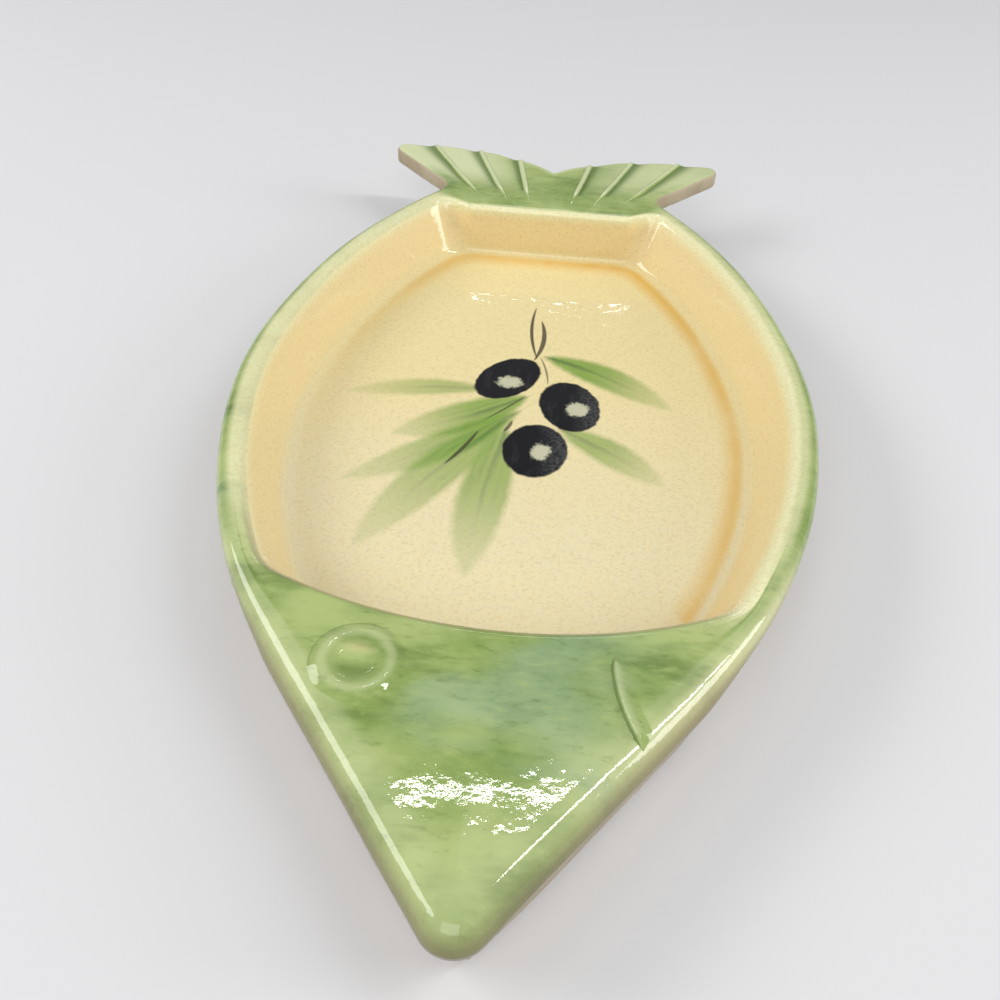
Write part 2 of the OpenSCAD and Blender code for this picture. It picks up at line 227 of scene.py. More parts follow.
def headSide(inset, snoutRound):  # snout, side and gill of the outline
    snoutArc = max(dishPlan["snoutRadius"] - inset, snoutRound)
    centre = Vector((0, wedgeTip(inset) + snoutArc / math.sin(headAngle)))
    start = polar(centre, snoutArc, -headAngle)
    end = flankPoint(-headAngle, inset)
    half = [polar(centre, snoutArc, a) for a in span(-math.pi / 2, -headAngle, stops["snout"])]
    half += [start.lerp(end, t) for t in span(0, 1, stops["side"])]
    half += [flankPoint(a, inset) for a in span(-headAngle, gillAngle, stops["gill"])]
    return half + [flankPoint(a, inset) for a in span(gillAngle, backAngle, stops["flank"])]


def gillShare(stop):  # how far the head has given way to the flank, round the gill
    half = min(stop, 2 * halfCount - stop)
    share = min(max(half - stops["snout"] - stops["side"], 0) / stops["gill"], 1)
    return (1 - math.cos(math.pi * share)) / 2


def wallRing(inset, snoutRound=1.5 * mm, headInset=None):  # outer wall, which passes under the tail
    radius = dishPlan["backCorner"] + rimWidth - inset
    half = headSide(inset, snoutRound)
    if headInset is not None:  # the head's own inset
        for stop, point in enumerate(headSide(headInset, snoutRound)):
            half[stop] = point.lerp(half[stop], gillShare(stop))
    half += [polar(backCorner, radius, a) for a in span(backAngle, cornerTurn, stops["neck"])]
    half += [backEdge(radius, a) for a in tailAngles]
    return wholeRing(half)


armpitTurn = tailFan["armpit"] / flankRadius


def rimRing(inset):  # rounded edge, which runs up to the neck
    half = headSide(inset, 0.5 * mm)
    half += [flankPoint(a, inset) for a in span(backAngle, neckAngle - armpitTurn, stops["neck"])]
    neckPoint = flankPoint(neckAngle - armpitTurn, inset)
    line = dishPlan["wellBack"] + rimWidth - inset
    for angle in tailAngles:
        spot = Vector(((line - fanCentre.y) * math.tan(angle), line))
        share = smooth(angle, rayPitch * tailFan["rays"], tipAngle)
        half.append(spot.lerp(neckPoint, share))
    return wholeRing(half)


def level(ring, height):  # a plan ring set at its height in the dish
    return [Vector((p.x, p.y + widestLine, height)) for p in ring]


def deselectAll():
    if bpy.context.object and bpy.context.object.mode != "OBJECT":
        bpy.ops.object.mode_set(mode="OBJECT")
    bpy.ops.object.select_all(action="DESELECT")


def chooseRings(piece, numbers):
    bpy.ops.mesh.select_all(action="DESELECT")
    sculpt = bmesh.from_edit_mesh(piece.data)
    ringTag = sculpt.verts.layers.int["ring"]
    for vert in sculpt.verts:
        vert.select_set(vert[ringTag] in numbers)
    sculpt.select_flush(True)
    bmesh.update_edit_mesh(piece.data)


def growPiece(name, rings, ends="fill"):  # a circle carried from ring to ring by extruding
    deselectAll()
    bpy.ops.mesh.primitive_circle_add(vertices=len(rings[0]), radius=cadHigh.x)
    piece = bpy.context.object
    piece.name = piece.data.name = name
    bpy.ops.object.mode_set(mode="EDIT")
    bpy.ops.mesh.select_mode(type="VERT")
    bpy.ops.mesh.select_all(action="SELECT")
    sculpt = bmesh.from_edit_mesh(piece.data)
    sculpt.verts.layers.int.new("ring")
    sculpt.verts.layers.int.new("stop")
    for number, ring in enumerate(rings):
        if number:
            bpy.ops.mesh.extrude_edges_move()
            sculpt = bmesh.from_edit_mesh(piece.data)
        ringTag, stopTag = sculpt.verts.layers.int["ring"], sculpt.verts.layers.int["stop"]
        for vert in sculpt.verts:
            if vert.select:
                if not number:
                    vert[stopTag] = vert.index
                vert[ringTag] = number
                vert.co = ring[vert[stopTag]]
        bmesh.update_edit_mesh(piece.data)
    last = len(rings) - 1
    if ends == "fill":
        for number in (0, last):
            chooseRings(piece, (number,))
            bpy.ops.mesh.edge_face_add()
    else:  # a closed hoop, whose last ring meets the first
        chooseRings(piece, (0, last))
        bpy.ops.mesh.bridge_edge_loops()
    bpy.ops.mesh.select_all(action="SELECT")
    bpy.ops.mesh.normals_make_consistent(inside=False)
    bpy.ops.object.mode_set(mode="OBJECT")
    return piece


print("plan ready:", 2 * halfCount, "stops round the dish")


def shrink(ring, centre, share):  # the ring drawn in towards a point
    return [centre + (p - centre) * share for p in ring]


seatTurn = math.pi + math.asin((rollLine - rimSeat) / roll)  # where the rounded edge starts, on its underside
seatOut = roll * (1 + math.cos(seatTurn))
headSeat = math.pi + math.asin((headLine - rimSeat) / headRound)  # the same at the head
headOut = headRound * (1 + math.cos(headSeat)) + 0.4 * mm  # with a small step under the glaze
dishMiddle = Vector((0, 6 * mm))


def outerFace(height):  # the outer wall leans in towards the table
    return seatOut + (rimSeat - height) * math.tan(lean)


clayShell = {
    "skin": 2 * mm,  # the shell goes this far into the glazed top
    "insideHeight": floorTop - 0.6 * mm,
    "ventRadius": 3 * mm,
    "ventDepth": 4.5 * mm,
    "bottomEdge": 0.9 * mm,
    "undercut": 0.32,  # of the drop from the seat, under the snout
}


def clayRing(height, depth):  # outside of the clay, steeper at the head
    headFace = headOut + (rimSeat - height) * math.tan(dishPlan["headLean"])
    ring = wallRing(outerFace(height) + depth, headInset=headFace + depth)
    for stop, point in enumerate(ring):  # the snout is undercut further
        half = min(stop, 2 * halfCount - stop)
        point.y += (rimSeat - height) * clayShell["undercut"] * (1 - smooth(half, 2, stops["snout"] + 5))
    return ring


def makeClayShell():
    size = clayShell
    snoutCentre = wedgeTip(0) + dishPlan["snoutRadius"] / math.sin(headAngle)
    vent = Vector((0, (snoutCentre - dishPlan["wellFront"]) / 2))
    inside = wallRing(outerFace(size["insideHeight"]) + 2 * size["skin"], 3 * mm)
    rings = [level(shrink(inside, dishMiddle, 0.05), size["insideHeight"]), level(inside, size["insideHeight"])]
    rings.append(level(clayRing(rimSeat, size["skin"]), rimSeat - 0.5 * mm))
    rings.append(level(clayRing(rimSeat, 0.6 * mm), rimSeat + 0.05 * mm))
    rings.append(level(clayRing(rimSeat, 0.15 * mm), rimSeat - 0.2 * mm))
    top, bottom = rimSeat - 1.2 * mm, footTop + size["bottomEdge"]
    for height in (*span(top, bottom, 6), bottom):
        rings.append(level(clayRing(height, 0), height))
    for turn in (30, 60, 90):
        swing = math.radians(turn)
        edge = clayRing(bottom, size["bottomEdge"] * (1 - math.cos(swing)))
        rings.append(level(edge, bottom - size["bottomEdge"] * math.sin(swing)))
    base = clayRing(bottom, 2 * size["bottomEdge"])
    mouth = [vent + (p - vent).normalized() * size["ventRadius"] for p in base]
    for share in span(0, 1, 8):
        rings.append(level([p.lerp(q, share**0.8) for p, q in zip(base, mouth)], footTop))
    rings.append(level(shrink(mouth, vent, 1.12), footTop))
    rings.append(level(mouth, footTop + 0.3 * mm))
    rings.append(level(mouth, footTop + size["ventDepth"]))
    return growPiece("clayShell", rings)


glazedTop = {
    "rollRings": 12,
    "deckRings": 22,
    "innerRings": 8,
    "filletRings": 8,
    "floorRings": 14,
    "underHeight": floorTop - 1.5 * mm,
}


def edgeTurns(seat):  # turns of the rounded edge's rows, from its seat up to the crest
    steps = glazedTop["rollRings"]
    return [seat + (math.pi / 2 - seat) * i / steps for i in range(steps + 1)]


rollTurns, headTurns = edgeTurns(seatTurn), edgeTurns(headSeat)
wallTurn = math.pi / 2 - lean  # turn of the inner round, and of the fillet at the floor
crestInset = rimWidth - roll
wallDrop = rollLine + roll * math.sin(lean) - floorTop
toe = crestInset + roll * math.cos(lean) + wallDrop * math.tan(lean)  # where the fillet meets the floor
toe += dishPlan["floorFillet"] * math.tan(wallTurn / 2)
zones = []  # what each ring of the glazed top belongs to, with its place there


def rollRing(row):  # one row of the rounded edge, which is wider at the head
    turn, headTurn = rollTurns[row], headTurns[row]
    flank = level(rimRing(roll * (1 + math.cos(turn))), rollLine + roll * math.sin(turn))
    head = level(rimRing(headRound * (1 + math.cos(headTurn))), headLine + headRound * math.sin(headTurn))
    return [p.lerp(q, gillShare(stop)) for stop, (p, q) in enumerate(zip(head, flank))]


def topRings():
    size = glazedTop
    rings = []

    def add(zone, share, ring, height):
        zones.append((zone, share))
        rings.append(level(ring, height))

    under = wallRing(outerFace(size["underHeight"]) + 2.2 * mm, 3 * mm)
    add("hidden", 0, shrink(under, dishMiddle, 0.05), size["underHeight"])
    add("hidden", 0.5, under, size["underHeight"])
    add("hidden", 1, clayRing(rimSeat, 1.1 * mm), rimSeat - 0.4 * mm)
    for row, turn in enumerate(rollTurns):
        zones.append(("roll", turn))
        rings.append(rollRing(row))
    outer, inner = rings[-1], level(wellRing(crestInset, rimTop), rimTop)
    for share in span(0, 1, size["deckRings"])[1:]:
        zones.append(("deck", share))
        rings.append([p.lerp(q, share) for p, q in zip(outer, inner)])
    for turn in (*span(0, wallTurn, size["innerRings"]), wallTurn):
        height = rollLine + roll * math.cos(turn)
        add("inner", turn, wellRing(crestInset + roll * math.sin(turn), height), height)
    fillet = dishPlan["floorFillet"]
    high, low = rollLine + roll * math.cos(wallTurn), floorTop + fillet * (1 - math.cos(wallTurn))
    near, far = crestInset + roll * math.sin(wallTurn), toe - fillet * math.sin(wallTurn)
    for share in span(0, 1, 5)[1:]:
        height = high + (low - high) * share
        add("wall", share, wellRing(near + (far - near) * share, height), height)
    for turn in (*span(wallTurn, 0, size["filletRings"]), 0):
        height = floorTop + fillet * (1 - math.cos(turn))
        add("fillet", turn, wellRing(toe - fillet * math.sin(turn), height), height)
    floorEdge = wellRing(toe)
    for share in span(0, 1, size["floorRings"])[1:]:
        add("floor", share, shrink(floorEdge, dishMiddle, 1 - share), floorTop)
    return rings


def lobePath():  # side of the right lobe in plan, from the armpit to its tip
    way = (tipLow - neck).normalized()
    start = flankPoint(neckAngle - armpitTurn, 0)
    bends = [
        (start, neck, neck + way * tailFan["armpit"]),
        (tipLow - way * tailFan["tipRound"], tipLow, tipLow.lerp(tailEdge(tipAngle), 0.6)),
    ]
    path = []
    for first, control, last in bends:
        for t in (*span(0, 1, 8), 1):
            path.append(first.lerp(control, t).lerp(control.lerp(last, t), t))
    return path + [tailEdge(tipAngle)]


def fanRadius(angle):
    rays = angle / rayPitch
    drawn = tailFan["tipReach"] * smooth(rays, tailFan["rays"] - 0.2, tailFan["rays"] + tailFan["tipShare"])
    bulge = tailFan["scallop"] * abs(math.sin(math.pi * rays))
    return tailFan["notchRadius"] + tailFan["growth"] * rays + bulge + drawn


def tailEdge(angle):  # back edge of the tail, drawn in round the tip
    radius = fanRadius(angle)
    turn = tailFan["tipRound"] / radius
    share = min(max((angle - tipAngle + turn) / turn, 0), 1)
    drop = tailFan["tipRound"] * (1 - math.sqrt(1 - share**2))
    return fanCentre + Vector((math.sin(angle) * radius, math.cos(angle) * radius - drop))


tipHigh = fanCentre + Vector((math.sin(tipAngle), math.cos(tipAngle))) * fanRadius(tipAngle)
tipLow = tipHigh - Vector((0, tailFan["tipBlunt"]))
lobe = lobePath()
lobeLengths = [0.0]
for p, q in zip(lobe, lobe[1:]):
    lobeLengths.append(lobeLengths[-1] + (q - p).length)


def leftOf(way):
    return Vector((-way.y, way.x)).normalized()


def lobeSide(share):  # a point of the lobe's side, and the way in from it
    reach = share * lobeLengths[-1]
    k = max(i for i in range(len(lobe) - 1) if lobeLengths[i] <= reach)
    spot = lobe[k].lerp(lobe[k + 1], (reach - lobeLengths[k]) / (lobeLengths[k + 1] - lobeLengths[k]))
    before, after = lobe[max(k - 1, 0)], lobe[min(k + 2, len(lobe) - 1)]
    return spot, leftOf(after - before)


def backSide(angle):  # the same for the back edge
    nudge = math.radians(0.02)
    if angle < nudge:
        return tailEdge(angle), Vector((0, -1))
    return tailEdge(angle), leftOf(tailEdge(angle - nudge) - tailEdge(min(angle + nudge, tipAngle)))


def edgeProfile(row, fin):  # inset and height of a row, from the rounded rim to the thin edge of the tail
    turn = rollTurns[row]
    if turn > math.pi:
        under = math.pi * (1 + 0.5 * (turn - math.pi) / (seatTurn - math.pi))
        radius, centre = tailFan["bottomEdge"], finUnder + tailFan["bottomEdge"]
    else:
        under, radius, centre = turn, tailFan["topEdge"], rimTop - tailFan["topEdge"]
    inset = roll * (1 + math.cos(turn)) * (1 - fin) + radius * (1 + math.cos(under)) * fin
    height = (rollLine + roll * math.sin(turn)) * (1 - fin) + (centre + radius * math.sin(under)) * fin
    return inset, height


def pleat(angle):  # the tail drops on the outer side of each ray and climbs to the next
    rays = angle / rayPitch
    if rays < 1:
        return -0.4 * tailFan["pleat"] * (1 - rays**2)
    past = rays - math.floor(rays)
    return -tailFan["pleat"] * (1 - past) ** 1.2 * smooth(past, 0, 0.12)


def tailSpot(row, angle, share, root, rayRoot):  # where a point of the rim's outer side goes as the tail grows
    side, angle = (-1 if angle < 0 else 1), abs(angle)
    lastRay = rayPitch * tailFan["rays"]
    start, rayStart = (Vector((abs(spot.x), spot.y - widestLine)) for spot in (root, rayRoot))

    def backSpot(at):
        spot, inward = backSide(at)
        return spot + inward * edgeProfile(row, 1)[0]

    def sideSpot(at):
        spot, inward = lobeSide(at)
        return spot + inward * edgeProfile(row, smooth(at, 0, 0.3))[0]

    end, rayEnd = backSpot(angle), backSpot(lastRay)
    aside = (tipAngle - angle) / (tipAngle - lastRay)  # from the lobe's side to its last ray
    if aside < 1:
        place = sideSpot(share).lerp(rayStart.lerp(rayEnd, share), aside)
        place += (start - sideSpot(0).lerp(rayStart, aside)) * (1 - share) ** 10
        place += (end - sideSpot(1).lerp(rayEnd, aside)) * share**4
    else:
        place = start.lerp(end, share)
    height = edgeProfile(row, smooth(share, 0, 0.3))[1]
    height += pleat(angle) * smooth(share, 0.03, 0.25) * smooth(row / glazedTop["rollRings"], 0.3, 0.72)
    return Vector((side * place.x, place.y + widestLine, height))


def growTail(piece):  # the rim's outer side, drawn out step by step into the tail
    firstRoll = next(i for i, zone in enumerate(zones) if zone[0] == "roll")
    lastRoll = firstRoll + glazedTop["rollRings"]
    bpy.ops.object.mode_set(mode="EDIT")
    bpy.ops.mesh.select_mode(type="FACE")
    bpy.ops.mesh.select_all(action="DESELECT")
    sculpt = bmesh.from_edit_mesh(piece.data)
    stepTag = sculpt.verts.layers.int.new("step")
    ringTag, stopTag = sculpt.verts.layers.int["ring"], sculpt.verts.layers.int["stop"]
    roots = {}
    for vert in sculpt.verts:
        if firstRoll <= vert[ringTag] <= lastRoll:
            roots[vert[ringTag], vert[stopTag]] = vert.co.copy()
    for face in sculpt.faces:
        onRoll = all(firstRoll <= v[ringTag] <= lastRoll for v in face.verts)
        behind = all(neckStop <= v[stopTag] <= 2 * halfCount - neckStop for v in face.verts)
        face.select_set(onRoll and behind)
    bmesh.update_edit_mesh(piece.data)
    for step in range(1, tailFan["steps"] + 1):
        share = step / tailFan["steps"]
        share = share - 0.12 * math.sin(2 * math.pi * share) / math.pi  # finer steps at both ends
        bpy.ops.mesh.extrude_region_move()
        sculpt = bmesh.from_edit_mesh(piece.data)
        ringTag, stopTag, stepTag = (sculpt.verts.layers.int[k] for k in ("ring", "stop", "step"))
        for vert in sculpt.verts:
            if vert.select:
                key = vert[ringTag], vert[stopTag]
                rayRoot = roots[key[0], neckStop + stops["tip"]]
                vert.co = tailSpot(key[0] - firstRoll, sideAngles[key[1] - neckStop], share, roots[key], rayRoot)
                vert[stepTag] = step
        bmesh.update_edit_mesh(piece.data)
    bpy.ops.mesh.select_all(action="SELECT")
    bpy.ops.mesh.normals_make_consistent(inside=False)
    bpy.ops.object.mode_set(mode="OBJECT")


shell = makeClayShell()
top = growPiece("glazedTop", topRings())
growTail(top)
print("glazed top:", len(top.data.vertices), "points")

footRing = {"inset": 13.5 * mm, "width": 6 * mm, "edge": 0.8 * mm, "into": 0.4 * mm}


def makeFootRing():
    near, far, edge = footRing["inset"], footRing["inset"] + footRing["width"], footRing["edge"]
    section = [(near, footTop + footRing["into"]), (near, footTop / 2)]
    section += [(near + edge * (1 - math.cos(a)), edge * (1 - math.sin(a))) for a in span(0, math.pi / 2, 4)]
    section += [(near + edge, 0), (near + footRing["width"] / 2, 0), (far - edge, 0)]
    section += [(far - edge * (1 - math.cos(a)), edge * (1 - math.sin(a))) for a in span(math.pi / 2, 0, 4)[1:]]
    section += [(far, edge), (far, footTop / 2), (far, footTop + footRing["into"])]
    return growPiece("footRing", [level(wallRing(inset, 4 * mm), height) for inset, height in section], "bridge")


foot = makeFootRing()

eye = {
    "turns": 72,
    "crest": 1.2 * mm,
    "crestAt": 0.74,  # of the ring's radius
    "dimpleAt": 0.4,
    "dimpleDepth": 0.02 * mm,  # above the deck, at the middle
    "middle": 0.4 * mm,  # radius of the last ring
    "deep": -1.2 * mm,  # underside, hidden in the deck
    "sunk": -0.12 * mm,  # outer edge, just under the glaze
    "skirt": 1.1,  # of the ring's radius
}
eyeLow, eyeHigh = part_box("eye_ring")
eyeSpot = (eyeLow + eyeHigh) / 2
eyeRadius = (eyeHigh.x - eyeLow.x) / 2


def deckHeight(spot):  # the deck is flat up to its rounded edge
    place = Vector((abs(spot.x), spot.y - widestLine))
    inset = flankRadius - (place - flankCentre).length
    if heading(flankCentre, place) < -headAngle:  # beside the straight part of the head
        inset = (flankPoint(-headAngle, 0) - place).dot(Vector((math.cos(headAngle), -math.sin(headAngle))))
    beyond = max(headRound - inset, 0)
    return headLine + math.sqrt(max(headRound**2 - beyond**2, 0))


def turned(profile):  # rings of a turned form on the deck, from (radius, height) pairs
    rings = []
    for radius, height in profile:
        spots = [polar(eyeSpot, radius, a) for a in span(0, 2 * math.pi, eye["turns"])]
        rings.append([Vector((*spot, deckHeight(spot) + height)) for spot in spots])
    return rings


def makeEye():
    size, deep, low = eye, eye["deep"], eye["dimpleDepth"]
    crestAt, dimpleAt, skirt = (size[k] * eyeRadius for k in ("crestAt", "dimpleAt", "skirt"))
    slope = []
    for share in (*span(0, 1, 12), 1):  # soft shoulder outside, from the deck up to the crest
        height = size["sunk"] + (size["crest"] - size["sunk"]) * smooth(share)
        slope.append((skirt + (crestAt - skirt) * share, height))
    inner = []
    for share in (*span(0, 1, 12)[1:], 1):  # down into the dimple
        inner.append((crestAt + (dimpleAt - crestAt) * share, size["crest"] * (1 - 0.85 * smooth(share))))
    ringProfile = [(dimpleAt * 0.9, deep), (skirt, deep)] + slope + inner + [(dimpleAt * 0.9, -0.3 * mm)]
    ring = growPiece("eyeRing", turned(ringProfile), "bridge")
    edge = inner[-1]
    bowl = [(size["middle"], deep), (edge[0] * 1.15, deep), (edge[0] * 1.15, edge[1] - 0.3 * mm)]
    for share in (*span(0, 1, 12), 1):
        height = low + (edge[1] - low) * (1 - smooth(share))
        bowl.append((edge[0] * (1 - share) + size["middle"] * share, height))
    return ring, growPiece("eyePupil", turned(bowl))


eyeRing, eyePupil = makeEye()

lip = {
    "radius": 47 * mm,
    "steep": 1.4 * mm,  # width of the step on the side of the eye
    "gentle": 5 * mm,  # width of the slope towards the edge of the head
    "height": 1.5 * mm,
    "steps": 36,
    "ends": 0.14,  # share of the length that fades at each end
    "sunk": 0.12 * mm,  # edge, just under the glaze
    "thick": 1.4 * mm,
}
lipStart, lipEnd = Vector((37.2 * mm, -124.6 * mm)), Vector((30.2 * mm, -99.6 * mm))


def makeLip():
    chord = lipEnd - lipStart
    middle = (lipStart + lipEnd) / 2
    away = math.sqrt(lip["radius"] ** 2 - chord.length_squared / 4)
    centre = middle + Vector((chord.y, -chord.x)).normalized() * away
    first, last = (heading(centre, spot) % (2 * math.pi) for spot in (lipStart, lipEnd))
    rings = []
    for share in (*span(0, 1, lip["steps"]), 1):
        turn = first + (last - first) * share
        grow = smooth(share, 0, lip["ends"]) * smooth(1 - share, 0, lip["ends"])
        grow = 0.04 + 0.96 * grow
        ring = []
        for s in (*span(-1, 0, 6), *span(0, 1, 12), 1):  # across the ridge, from the step to the gentle slope
            width = lip["steep"] if s < 0 else lip["gentle"]
            rise = (1 - smooth(-s)) if s < 0 else (1 - s) ** 2 * (1 + 0.6 * s)
            spot = polar(centre, lip["radius"] - s * width * (0.3 + 0.7 * grow), turn)
            height = deckHeight(spot) - lip["sunk"] + (lip["height"] + lip["sunk"]) * rise * grow
            ring.append(Vector((*spot, height)))
        under = [Vector((p.x, p.y, p.z - lip["thick"])) for p in (ring[-1], ring[12], ring[6], ring[0])]
        rings.append(ring + under)
    return growPiece("mouthLip", rings)


mouthLip = makeLip()

tailRay = {
    "width": 2.3 * mm,
    "height": 0.55 * mm,
    "steps": 26,
    "root": 3 * mm,  # from the back of the well
    "rootFade": 0.3,
    "points": 10,
    "sunk": 0.1 * mm,
    "thick": 1.6 * mm,
    "short": 0.25 * mm,  # of the edge of the tail
}


def makeRay(name, angle, side):
    near = (dishPlan["wellBack"] + roll - dishPlan["tailPinch"] + tailRay["root"] - fanCentre.y) / math.cos(angle)
    far = fanRadius(angle) - tailRay["short"]
    way = Vector((math.sin(angle), math.cos(angle)))
    across = Vector((way.y, -way.x))
    rings = []
    for share in (*span(0, 1, tailRay["steps"]), 1):
        along = near + (far - near) * (1 - (1 - share) ** 1.3)
        rest = far + tailRay["short"] - along  # what is left to the edge of the tail
        drop = 0.0
        if rest < tailFan["topEdge"]:
            drop = tailFan["topEdge"] - math.sqrt(tailFan["topEdge"] ** 2 - (tailFan["topEdge"] - rest) ** 2)
        grow = 0.05 + 0.95 * smooth(share, 0, tailRay["rootFade"])
        middle = fanCentre + way * along
        ring = []
        for turn in (*span(0, math.pi, tailRay["points"]), math.pi):
            shift = tailRay["width"] / 2 * math.cos(turn) * (0.4 + 0.6 * grow)
            rise = (tailRay["height"] + tailRay["sunk"]) * math.sin(turn) ** 1.5 * grow
            height = rimTop - tailRay["sunk"] - drop + rise
            spot = middle + across * shift
            ring.append(Vector((side * spot.x, spot.y + widestLine, height)))
        ring += [Vector((p.x, p.y, p.z - tailRay["thick"])) for p in (ring[-1], ring[len(ring) // 2], ring[0])]
        rings.append(ring)
    return growPiece(name, rings)


rays = []
for side, word in ((1, "Right"), (-1, "Left")):
    for k in range(1, tailFan["rays"] + 1):
        rays.append(makeRay("tailRay" + word + str(k), rayPitch * k, side))
print("relief: eye, lip and", len(rays), "rays")

hand = {
    "seed": 9,  # fixes the field, which would differ from run to run without it
    "sway": 0.4 * mm,
    "swayScale": 16,
    "ripple": 0.10 * mm,
    "rippleScale": 70,
    "still": (footTop, footTop + 8 * mm),  # the foot stays flat
    "snoutTurn": 0.4 * mm,  # the snout points a little to the right
    "turnReach": 165 * mm,
    "slimBack": 0.018,  # share by which the body is slimmer behind its widest line
    "slimStart": (0, 70 * mm),
    "slimEnd": (150 * mm, 125 * mm),
}


def wobble(piece):  # the unevenness of a thing made by hand, the same field through every piece
    for vert in piece.data.vertices:
        calm = smooth(vert.co.z, *hand["still"])
        sway = noise.noise_vector(vert.co * hand["swayScale"]) * hand["sway"]
        ripple = noise.noise_vector(vert.co * hand["rippleScale"] + Vector((7, 3, 1))) * hand["ripple"]
        slim = hand["slimBack"] * smooth(vert.co.y, *hand["slimStart"]) * smooth(vert.co.y, *hand["slimEnd"])
        vert.co.x += hand["snoutTurn"] * smooth(-vert.co.y, 0, hand["turnReach"]) - vert.co.x * slim
        vert.co += (sway + ripple) * calm


noise.seed_set(hand["seed"])
for piece in (shell, top, eyeRing, eyePupil, mouthLip, *rays):
    wobble(piece)

headStops = stops["snout"] + stops["side"] + stops["gill"]
glazeCoat = {
    "rimCrest": (0.48, 0.26),  # share of green on the crest of the rim, right and left
    "rimInside": (0.05, 0.18),
    "gillFade": 7,  # stops over which the deck's green thins out along the rim
    "pleatPool": 0.32,  # share of a panel in which the glaze pools beside a ray
}


def newCoat(**given):
    return {"green": 0.0, "pool": 0.0, "bare": 0.0, "thin": 0.0, "line": 0.0, "amber": 0.0, **given}


def coatOf(ring, stop, step):  # what the glaze is like at a point of the glazed top
    zone, place = zones[ring]
    half = min(stop, 2 * halfCount - stop)
    head = 1 - smooth(half, headStops - 1, headStops + glazeCoat["gillFade"])
    tail = smooth(half, neckStop - 7, neckStop)
    coat = newCoat()
    left = stop > halfCount
    gill = smooth(half, stops["snout"] + stops["side"] - 6, headStops - 2) * (0.25 if left else 1)
    full = max(head, tail)
    rimCrest, rimInside = glazeCoat["rimCrest"][left], glazeCoat["rimInside"][left]
    if zone == "hidden":
        coat["bare"] = 1.0
    elif zone == "roll":
        turn = math.degrees(place)
        flank = rimCrest + (1 - rimCrest) * smooth(turn, 86, 120)
        cheek = smooth(half, 14, 26) * (0.2 if left else 0.6)  # the glaze is thinner beside the gill
        coat["green"] = (flank + (1 - flank) * full) * (1 - head * cheek * smooth(turn, 100, 140))
        coat["thin"] = 0.25 * head
        # dark line at the foot of the glaze, and painted shade that darkens the lower half of the head's rounded edge
        # to olive brown
        coat["line"] = max(smooth(turn, 205, 222), 0.7 * head * smooth(turn, 135, 205))
        coat["bare"] = tail * smooth(turn, 118, 140) * smooth(step, 0, 4)
    elif zone == "deck":
        full = max(head * (1 - gill * smooth(place, 0.5, 0.85)), tail)
        coat["green"] = rimCrest * (1 - full) + full
        coat["thin"] = 0.25 * head * (1 - smooth(place, 0, 0.3 if left else 0.5))
    elif zone == "inner":
        turn = math.degrees(place)
        flank = rimCrest + (rimInside - rimCrest) * smooth(turn, 0, 26)
        flank *= 1 - smooth(turn, 42, 60)
        deckBack = 1 - smooth(turn, 24, 38)
        tailBack = 1 - smooth(turn, -8, 26)
        coat["green"] = flank * (1 - full) + head * deckBack * (1 - gill) + tail * tailBack
        coat["line"] = 0.6 * head * (1 - gill) * smooth(turn, 18, 30) * (1 - smooth(turn, 44, 58))
    elif zone == "wall":
        coat["amber"] = 0.08 * place
    elif zone == "fillet":
        coat["amber"] = 0.08 + 0.92 * smooth(math.degrees(place), 32, 9)
    elif zone == "floor":
        coat["amber"] = 1 - smooth(place, -0.03, 0.05)
    back = smooth(half, headStops + 6, neckStop)
    thick = 0.75 + 0.25 * back if stop < halfCount else 0.05 + 0.75 * back**2  # less of it on the left
    coat["amber"] *= thick * smooth(half, stops["snout"] + 10, headStops - 2)
    if step:
        rays, far = abs(sideAngles[stop - neckStop]) / rayPitch, step / tailFan["steps"]
        if rays > 1:
            past = rays - math.floor(rays)
            coat["pool"] = smooth(far, 0.02, 0.2) * (1 - smooth(past, 0.05, glazeCoat["pleatPool"]))
        pale = (0.95 if left else 0.6) * smooth(rays, 0.6, 2.4) * smooth(far, 0.1, 0.55)
        coat["thin"] = max(0.5 * smooth(far, 0.86, 1), pale)
    return coat


def markPoints(piece, coats):  # one number per point and kind of coat, read by the glaze
    for kind in coats[0]:
        mark = piece.data.attributes.new(kind, "FLOAT", "POINT")
        mark.data.foreach_set("value", [coat[kind] for coat in coats])


def tags(piece, name):
    return [entry.value for entry in piece.data.attributes[name].data]


markPoints(top, [coatOf(*place) for place in zip(tags(top, "ring"), tags(top, "stop"), tags(top, "step"))])
for piece, crest, pale in ((mouthLip, lip["height"], 0.35), *((ray, tailRay["height"], 0.8) for ray in rays)):
    coats = []
    for vert, stop in zip(piece.data.vertices, tags(piece, "stop")):
        thin = smooth((vert.co.z - rimTop) / crest, 0.35, 1)
        pool = 0.7 if piece is mouthLip and stop < 4 else 0.0  # beside the step
        coats.append(newCoat(green=1.0, pool=pool, thin=pale * thin))
    markPoints(piece, coats)
for piece in (eyeRing, eyePupil):
    coats = []
    for vert in piece.data.vertices:
        aside = (vert.co - eyeSpot).xy / eyeRadius
        dimple = 1 - smooth(aside.length, 0.3, 0.62)
        brown = dimple * smooth(aside.y, 0.1, 0.45)
        pool = 0.75 * dimple * smooth(-aside.y, -0.1, 0.25)
        pool += 0.5 * smooth(aside.length, 0.9, 1.05) * smooth(aside.y - aside.x, 0, 1)
        thin = 0.3 * smooth((vert.co.z - rimTop) / eye["crest"], 0.5, 1)
        coats.append(newCoat(green=1 - 0.5 * brown, pool=pool, thin=thin, amber=brown))
    markPoints(piece, coats)


def paint(red, green, blue):  # a colour as the eye sees it, 0 to 255
    return tuple(((c / 255 + 0.055) / 1.055) ** 2.4 if c > 10 else c / 255 / 12.92 for c in (red, green, blue)) + (1.0,)


